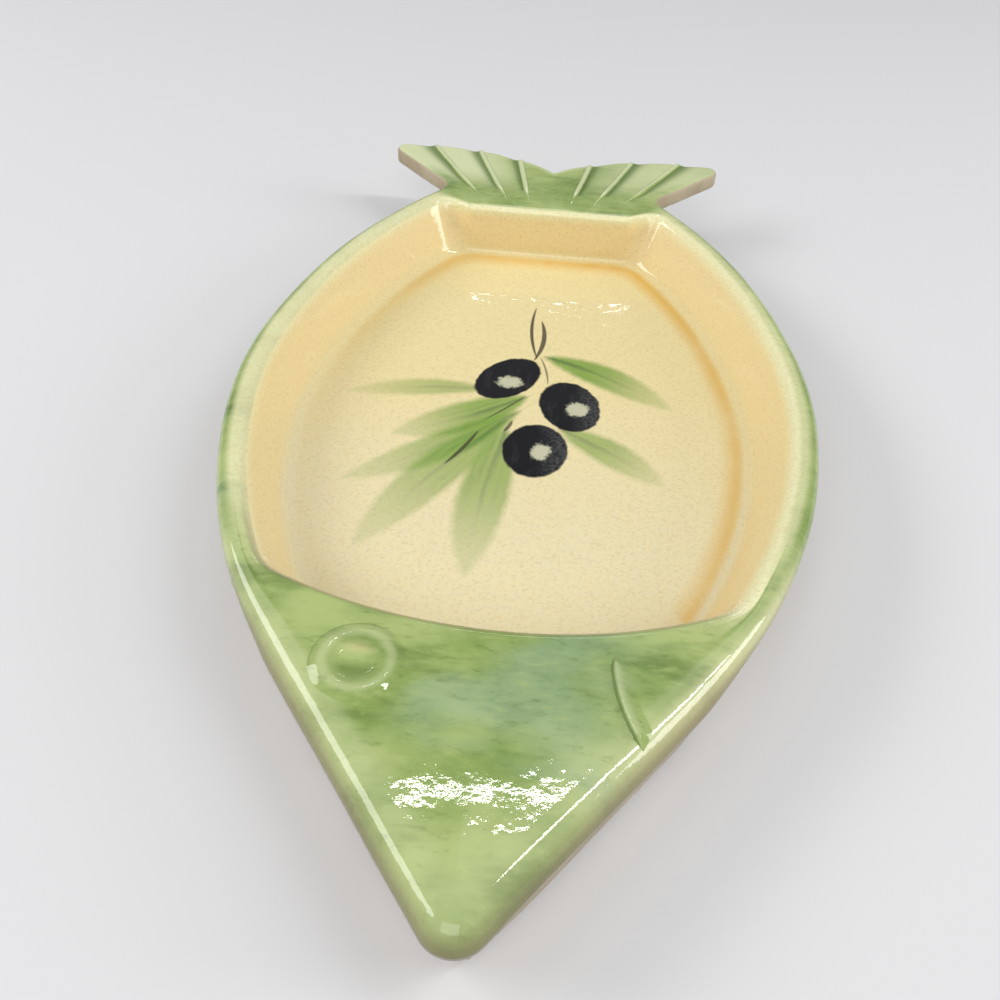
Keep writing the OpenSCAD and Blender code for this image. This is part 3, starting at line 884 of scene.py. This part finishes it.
def addNode(tree, kind, **settings):
    node = tree.nodes.new(kind)
    for key, value in settings.items():
        setattr(node, key, value)
    return node


def feed(tree, socket, value):  # a link from another node, or a fixed value
    if isinstance(value, bpy.types.NodeSocket):
        tree.links.new(value, socket)
    else:
        socket.default_value = value


def sums(tree, operation, first, second=0.0, third=0.0):
    node = addNode(tree, "ShaderNodeMath", operation=operation)
    for socket, value in zip(node.inputs, (first, second, third)):
        feed(tree, socket, value)
    return node.outputs[0]


def fade(tree, value, start, end, low=0.0, high=1.0):  # soft step from low at start to high at end
    node = addNode(tree, "ShaderNodeMapRange", interpolation_type="SMOOTHSTEP")
    for socket, number in zip(node.inputs, (value, start, end, low, high)):
        feed(tree, socket, number)
    return node.outputs[0]


def tint(tree, amount, first, second, mode="MIX"):
    node = addNode(tree, "ShaderNodeMix", data_type="RGBA", blend_type=mode)
    for socket, value in zip((node.inputs[0], node.inputs[6], node.inputs[7]), (amount, first, second)):
        feed(tree, socket, value)
    return node.outputs[2]


def grain(tree, spot, scale, detail=3.0, roughness=0.5, stretch=(1, 1, 1), turn=0.0):  # cloud of noise, scale in 1/mm
    mapping = addNode(tree, "ShaderNodeMapping")
    mapping.inputs["Scale"].default_value = stretch
    mapping.inputs["Rotation"].default_value = (0, 0, turn)
    feed(tree, mapping.inputs["Vector"], spot)
    cloud = addNode(tree, "ShaderNodeTexNoise")
    cloud.inputs["Scale"].default_value = scale
    cloud.inputs["Detail"].default_value = detail
    cloud.inputs["Roughness"].default_value = roughness
    tree.links.new(mapping.outputs[0], cloud.inputs["Vector"])
    return cloud.outputs["Fac"]


def mark(tree, name):
    return addNode(tree, "ShaderNodeAttribute", attribute_name=name).outputs["Fac"]


def along(tree, spot, start, end, bend):  # how far along a stroke a spot is, and how far aside in mm
    way = Vector(end) - Vector(start)
    step = addNode(tree, "ShaderNodeVectorMath", operation="SUBTRACT")
    feed(tree, step.inputs[0], spot)
    step.inputs[1].default_value = (*start, 0)
    reach = []
    for axis in (way / way.length_squared, leftOf(way)):
        part = addNode(tree, "ShaderNodeVectorMath", operation="DOT_PRODUCT")
        tree.links.new(step.outputs[0], part.inputs[0])
        part.inputs[1].default_value = (*axis, 0)
        reach.append(part.outputs["Value"])
    share, aside = reach
    arch = sums(tree, "MULTIPLY", sums(tree, "MULTIPLY", share, sums(tree, "SUBTRACT", 1.0, share)), 4.0)
    return share, sums(tree, "SUBTRACT", aside, sums(tree, "MULTIPLY", arch, bend)), arch


def ovalSize(tree, spot, middle, sizes, tilt=0.0):  # 1 on the edge of an oval, less inside it
    place = addNode(tree, "ShaderNodeMapping", vector_type="TEXTURE")
    place.inputs["Location"].default_value = (*middle, 0)
    place.inputs["Rotation"].default_value = (0, 0, math.radians(tilt))
    place.inputs["Scale"].default_value = (*sizes, 1000)  # height doesn't count
    feed(tree, place.inputs["Vector"], spot)
    size = addNode(tree, "ShaderNodeVectorMath", operation="LENGTH")
    tree.links.new(place.outputs[0], size.inputs[0])
    return size.outputs["Value"]


sprig = {
    "olives": [  # middle, half sizes, tilt, and the dab's place and half sizes, in mm and degrees
        ((-6.5, 34), (14.2, 9.4), 52, (0.9, -2.2), (5.2, 4.0)),
        ((15.8, 21), (13.8, 10.4), 106, (2.6, -1.4), (4.6, 4.6)),
        ((5.8, -3.4), (13.4, 10.8), 88, (1.8, -0.4), (3.6, 5.0)),
    ],
    "leaves": [  # base, tip, half width, bend and strength
        ((4.5, 49), (51, 23), 7.4, 2.6, 0.9),
        ((12, 9), (48, -16), 7.0, 1.8, 0.7),
        ((-10, 27), (-62, 18), 5.4, -2.0, 0.6),
        ((2, 25), (-42, -2), 8.6, 1.5, 0.85),
        ((0, 17), (-54, -26), 7.6, 2.5, 0.75),
        ((-4, 12), (-44, -54), 8.8, -2.0, 0.7),
        ((-4, 8), (-10, -62), 8.8, -1.5, 0.75),
    ],
    "strokes": [  # start, end, half width, bend and strength
        ((-0.5, 80), (2.2, 46), 0.75, -2.0, 0.9),
        ((2.0, 71), (1.0, 45), 1.0, 2.2, 0.88),
        ((3, 48), (7, 31), 0.5, 0.8, 0.7),
        ((-14, 3.5), (-23, -15), 0.8, 0.6, 0.8),
        ((-3.5, 10), (-5.8, 4), 0.8, 0.3, 0.8),
        ((0, 24.5), (-13, 9), 0.5, 0.4, 0.7),
    ],
    "leafGreen": paint(126, 164, 62),
    "leafDark": paint(72, 118, 42),
    "oliveBlack": paint(6, 7, 14),
    "oliveGrey": paint(52, 54, 54),
    "oliveSheen": paint(100, 101, 100),
    "oliveDab": paint(204, 203, 174),
    "twig": paint(58, 48, 36),
}


def paintSprig(tree, spot, ground):  # brushed leaves, twig and three olives over the cream glaze
    blur = addNode(tree, "ShaderNodeTexNoise")
    blur.inputs["Scale"].default_value = 0.35
    blur.inputs["Detail"].default_value = 2
    feed(tree, blur.inputs["Vector"], spot)
    jitter = addNode(tree, "ShaderNodeVectorMath", operation="MULTIPLY_ADD")
    tree.links.new(blur.outputs["Color"], jitter.inputs[0])
    jitter.inputs[1].default_value = (1.3, 1.3, 0)
    feed(tree, jitter.inputs[2], spot)
    rough = jitter.outputs[0]
    colour = ground
    for start, end, width, bend, strength in sprig["leaves"]:
        share, aside, arch = along(tree, rough, start, end, bend)
        reach = sums(tree, "MULTIPLY", sums(tree, "POWER", sums(tree, "MAXIMUM", arch, 0.0), 0.75), width)
        off = sums(tree, "ABSOLUTE", aside)
        inside = fade(tree, sums(tree, "SUBTRACT", reach, off), -0.6, 2.8)
        inside = sums(tree, "MULTIPLY", inside, fade(tree, share, 1.02, 0.3, 0.3, 1.0))
        stretchWay = addNode(tree, "ShaderNodeCombineXYZ")
        feed(tree, stretchWay.inputs[0], sums(tree, "MULTIPLY_ADD", share, 2.5, width * 3))
        feed(tree, stretchWay.inputs[1], sums(tree, "MULTIPLY", aside, 0.55))
        hair = grain(tree, stretchWay.outputs[0], 1.0, 2.0)
        dark = sums(tree, "ADD", fade(tree, off, 1.3, 0.1, 0.0, 0.75), fade(tree, hair, 0.42, 0.72, 0.0, 0.5))
        dark = sums(tree, "MULTIPLY", dark, fade(tree, share, 1.0, 0.2))
        leaf = tint(tree, dark, sprig["leafGreen"], sprig["leafDark"])
        colour = tint(tree, sums(tree, "MULTIPLY", inside, strength), colour, leaf)
    for start, end, width, bend, strength in sprig["strokes"]:
        share, aside, arch = along(tree, spot, start, end, bend)
        reach = sums(tree, "MULTIPLY", sums(tree, "POWER", sums(tree, "MAXIMUM", arch, 0.0), 0.5), width)
        inside = fade(tree, sums(tree, "SUBTRACT", reach, sums(tree, "ABSOLUTE", aside)), -0.1, 0.35)
        colour = tint(tree, sums(tree, "MULTIPLY", inside, strength), colour, sprig["twig"])
    apart = addNode(tree, "ShaderNodeSeparateXYZ")
    feed(tree, apart.inputs[0], spot)
    for number, (middle, sizes, tilt, dab, dabSizes) in enumerate(sprig["olives"]):
        inside = fade(tree, ovalSize(tree, rough, middle, sizes, tilt), 1.02, 0.94)
        strokes = grain(tree, spot, 0.35, 3.0, 0.6, (1, 0.35, 1), math.radians(tilt + 30))
        grey = fade(tree, strokes, 0.5, 0.78, 0.0, 0.5 + 0.2 * (number == 2))
        skin = tint(tree, grey, sprig["oliveBlack"], sprig["oliveGrey"])
        sheen = fade(tree, apart.outputs[0], middle[0] - 1, middle[0] + 8, 0.0, 0.55 if number else 0.0)
        sheen = sums(tree, "MULTIPLY", sheen, fade(tree, grain(tree, spot, 1.1, 2.0), 0.25, 0.75))
        skin = tint(tree, sheen, skin, sprig["oliveSheen"])
        dabSize = ovalSize(tree, rough, (middle[0] + dab[0], middle[1] + dab[1]), dabSizes)
        frayed = sums(tree, "ADD", grain(tree, spot, 0.7, 4.0, 0.65), sums(tree, "SUBTRACT", dabSize, 0.5))
        skin = tint(tree, fade(tree, frayed, 1.0, 0.62, 0.0, 0.95), skin, sprig["oliveDab"])
        colour = tint(tree, inside, colour, skin)
    return colour


glaze = {
    "greenDeep": paint(88, 116, 46),
    "green": paint(131, 157, 80),
    "greenPale": paint(177, 194, 122),
    # bluish grey of a painted reflection, laid over the green on the dish's left
    "sheenGreen": paint(152, 178, 152),
    "thinGreen": paint(221, 228, 181),
    "cream": paint(236, 225, 185),
    "creamWarm": paint(240, 224, 168),
    "wall": paint(245, 224, 170),
    "rimCream": paint(245, 243, 196),
    "speck": paint(192, 156, 104),
    "amber": paint(230, 182, 80),
    # dark olive brown of the glaze lines, also used as painted shade under the head's rounded edge
    "line": paint(112, 98, 58),
    "clay": paint(190, 176, 148),
    "clayDark": paint(166, 149, 120),
    "gloss": 0.02,
}


def clayColour(tree, spot):
    worn = fade(tree, grain(tree, spot, 0.06, 5.0, 0.6), 0.35, 0.7)
    grit = fade(tree, grain(tree, spot, 1.6, 2.0), 0.62, 0.75, 0.0, 0.5)
    return tint(tree, grit, tint(tree, worn, glaze["clay"], glaze["clayDark"]), glaze["clayDark"])


def openMaterial(name):
    material = bpy.data.materials.new(name)
    material.use_nodes = True
    tree = material.node_tree
    where = addNode(tree, "ShaderNodeTexCoord")
    inMm = addNode(tree, "ShaderNodeVectorMath", operation="SCALE")
    inMm.inputs["Scale"].default_value = 1 / mm
    tree.links.new(where.outputs["Object"], inMm.inputs[0])
    return material, tree, inMm.outputs[0], tree.nodes["Principled BSDF"]


def ripple(tree, shader, height, strength, distance):
    bump = addNode(tree, "ShaderNodeBump")
    bump.inputs["Strength"].default_value = strength
    bump.inputs["Distance"].default_value = distance
    tree.links.new(height, bump.inputs["Height"])
    tree.links.new(bump.outputs[0], shader.inputs["Normal"])


def makeGlaze():
    material, tree, spot, shader = openMaterial("brushedGlaze")
    height = addNode(tree, "ShaderNodeSeparateXYZ")
    tree.links.new(spot, height.inputs[0])
    tall = height.outputs[2]

    mottle = grain(tree, spot, 0.035, 5.0, 0.55)
    streak = grain(tree, spot, 0.05, 4.0, 0.55, (0.45, 1.5, 1), math.radians(12))
    sheenCloud = grain(tree, spot, 0.022, 3.0, 0.5, (0.7, 1.3, 1))
    green = tint(tree, fade(tree, mottle, 0.3, 0.68), glaze["greenPale"], glaze["green"])
    green = tint(tree, fade(tree, streak, 0.5, 0.72, 0.0, 0.75), green, glaze["greenDeep"])
    # painted reflection: cloudy bluish-grey sheen on the green, full where x is below 15 mm and fading out by 50 mm
    paintedSheen = sums(tree, "MULTIPLY", fade(tree, sheenCloud, 0.56, 0.7, 0.0, 0.45), fade(tree, height.outputs[0], 50, 15))
    green = tint(tree, paintedSheen, green, glaze["sheenGreen"])
    brushed = grain(tree, spot, 0.4, 4.0, 0.65, (0.45, 1.2, 1), math.radians(8))
    green = tint(tree, fade(tree, brushed, 0.5, 0.75, 0.0, 0.5), green, glaze["greenPale"])
    green = tint(tree, fade(tree, brushed, 0.48, 0.25, 0.0, 0.45), green, glaze["greenDeep"])

    warm = fade(tree, sums(tree, "MULTIPLY_ADD", grain(tree, spot, 0.02, 3.0), 60.0, height.outputs[1]), -20, 80)
    cream = tint(tree, warm, glaze["cream"], glaze["creamWarm"])
    low, high = floorTop / mm, rimTop / mm
    cream = tint(tree, fade(tree, tall, low + 0.5, low + 6), cream, glaze["wall"])
    cream = tint(tree, fade(tree, tall, high - 5, high - 0.5), cream, glaze["rimCream"])
    patch = fade(tree, grain(tree, spot, 0.5, 4.0, 0.7, (0.6, 1, 1)), 0.4, 0.7, 0.0, 0.4)
    speck = fade(tree, grain(tree, spot, 1.2, 4.0, 0.75, (0.75, 1, 1)), 0.46, 0.74, 0.0, 0.36)
    cream = tint(tree, patch, cream, glaze["creamWarm"])
    cream = tint(tree, speck, cream, glaze["speck"])
    pooled = sums(tree, "MULTIPLY", mark(tree, "amber"), fade(tree, mottle, 0.25, 0.6, 0.4, 0.85))
    cream = tint(tree, pooled, cream, glaze["amber"])
    onFloor = sums(tree, "MULTIPLY", fade(tree, tall, low + 2.5, low + 1.5), fade(tree, tall, low - 2, low - 1.2))
    cream = tint(tree, onFloor, cream, paintSprig(tree, spot, cream))

    share = sums(tree, "MULTIPLY_ADD", sums(tree, "SUBTRACT", streak, 0.5), 0.35, mark(tree, "green"))
    share = sums(tree, "MULTIPLY", fade(tree, mark(tree, "green"), 0.0, 0.12), share)
    colour = tint(tree, share, cream, green)
    colour = tint(tree, mark(tree, "thin"), colour, glaze["thinGreen"])
    colour = tint(tree, sums(tree, "MULTIPLY", mark(tree, "pool"), 0.85), colour, glaze["greenDeep"])
    # dark glaze lines, and painted shade on the lower half of the head's rounded edge
    colour = tint(tree, mark(tree, "line"), colour, glaze["line"])
    colour = tint(tree, mark(tree, "bare"), colour, clayColour(tree, spot))
    tree.links.new(colour, shader.inputs["Base Color"])
    dull = sums(tree, "MULTIPLY_ADD", mark(tree, "bare"), 0.5, sums(tree, "MULTIPLY_ADD", mottle, 0.03, glaze["gloss"]))
    tree.links.new(dull, shader.inputs["Roughness"])
    waves = sums(tree, "MULTIPLY_ADD", grain(tree, spot, 0.36, 3.0), 0.6, grain(tree, spot, 0.12, 1.0))
    ripple(tree, shader, waves, 0.4, 0.16 * mm)
    return material


def makeClay():
    material, tree, spot, shader = openMaterial("bareClay")
    tree.links.new(clayColour(tree, spot), shader.inputs["Base Color"])
    shader.inputs["Roughness"].default_value = 0.6
    ripple(tree, shader, grain(tree, spot, 1.2, 4.0, 0.6), 0.4, 0.15 * mm)
    return material


brushedGlaze, bareClay = makeGlaze(), makeClay()
for piece in (top, eyeRing, eyePupil, mouthLip, *rays):
    piece.data.materials.append(brushedGlaze)
for piece in (shell, foot):
    piece.data.materials.append(bareClay)
print("glaze:", len(brushedGlaze.node_tree.nodes), "nodes")

camera = {
    "spot": Vector((11.4, -250.1, 218.3)) * mm,
    "heading": Vector((-0.0678, 0.9977, 0)),
    "pitch": math.radians(43.5),
    "roll": math.radians(2.84),
    "lens": 36,
}


def addCamera():
    deselectAll()
    bpy.ops.object.camera_add(location=camera["spot"])
    eyePiece = bpy.context.object
    eyePiece.name = "photoCamera"
    ahead = camera["heading"].normalized()
    right = Vector((ahead.y, -ahead.x, 0))
    look = ahead * math.cos(camera["pitch"]) - Vector((0, 0, math.sin(camera["pitch"])))
    above = right.cross(look)
    tilted = right * math.cos(camera["roll"]) + above * math.sin(camera["roll"])
    upright = above * math.cos(camera["roll"]) - right * math.sin(camera["roll"])
    turn = Matrix((tilted, upright, -look)).transposed()
    eyePiece.rotation_euler = turn.to_euler()
    eyePiece.data.lens = camera["lens"]
    eyePiece.data.sensor_width = 36
    eyePiece.data.clip_start = 10 * mm
    bpy.context.scene.camera = eyePiece


addCamera()


def addLamp(name, size, spot, target, power):
    deselectAll()
    bpy.ops.object.light_add(type="AREA", location=spot)
    lamp = bpy.context.object
    lamp.name = name
    lamp.data.shape = "RECTANGLE"
    lamp.data.size, lamp.data.size_y = size
    lamp.data.energy = power
    lamp.rotation_euler = (Vector(target) - Vector(spot)).to_track_quat("-Z", "Y").to_euler()
    return lamp


addLamp("stripBehind", (0.33, 0.018), (-0.034, 0.511, 1.154), (0, -0.135, 0), 0.7)
addLamp("stripLow", (0.27, 0.024), (-0.027, 1.45, 0.828), (0, 0.1, 0), 0.4)
addLamp("stripRight", (0.12, 0.8), (1.0, 0.05, 1.25), (0, -0.1, 0), 5.5)
addLamp("panelRight", (0.5, 0.4), (1.25, 0, 0.55), (-0.05, 0, 0), 4)
addLamp("panelLeft", (0.9, 0.42), (-1.12, 0.0, 0.74), (0, -0.05, 0), 7)
addLamp("softFront", (1.2, 0.8), (-0.1, -1.1, 1.0), (0, 0.05, 0), 7)
world = bpy.data.worlds.new("softRoom")
world.use_nodes = True
sky = world.node_tree.nodes["Background"].inputs
sky["Color"].default_value, sky["Strength"].default_value = (1, 1, 1, 1), 0.34
bpy.context.scene.world = world
bpy.context.scene.view_settings.view_transform = "Standard"

deselectAll()
bpy.ops.mesh.primitive_plane_add(size=6)
floor = bpy.context.object
floor.name = "paleFloor"
floorPaint = bpy.data.materials.new("paleFloorPaint")
floorPaint.use_nodes = True
matt = floorPaint.node_tree.nodes["Principled BSDF"].inputs
matt["Base Color"].default_value, matt["Roughness"].default_value = paint(226, 226, 228), 0.8
floor.data.materials.append(floorPaint)

for piece in (top, shell, foot, eyeRing, eyePupil, mouthLip, *rays):
    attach(piece, "root")
    piece.data.shade_smooth()
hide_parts("well_floor", "left_wall", "right_wall", "tail_wall", "front_wall",
            "head_deck", "left_rim", "right_rim", "tail_rim", "tail_fin")
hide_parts("head_base", "head_left_wall", "head_right_wall")
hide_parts("foot_rim")
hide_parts("eye_ring")
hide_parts("eye_pupil")
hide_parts("mouth_lip")
for ray in rays:
    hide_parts("tail_rays")
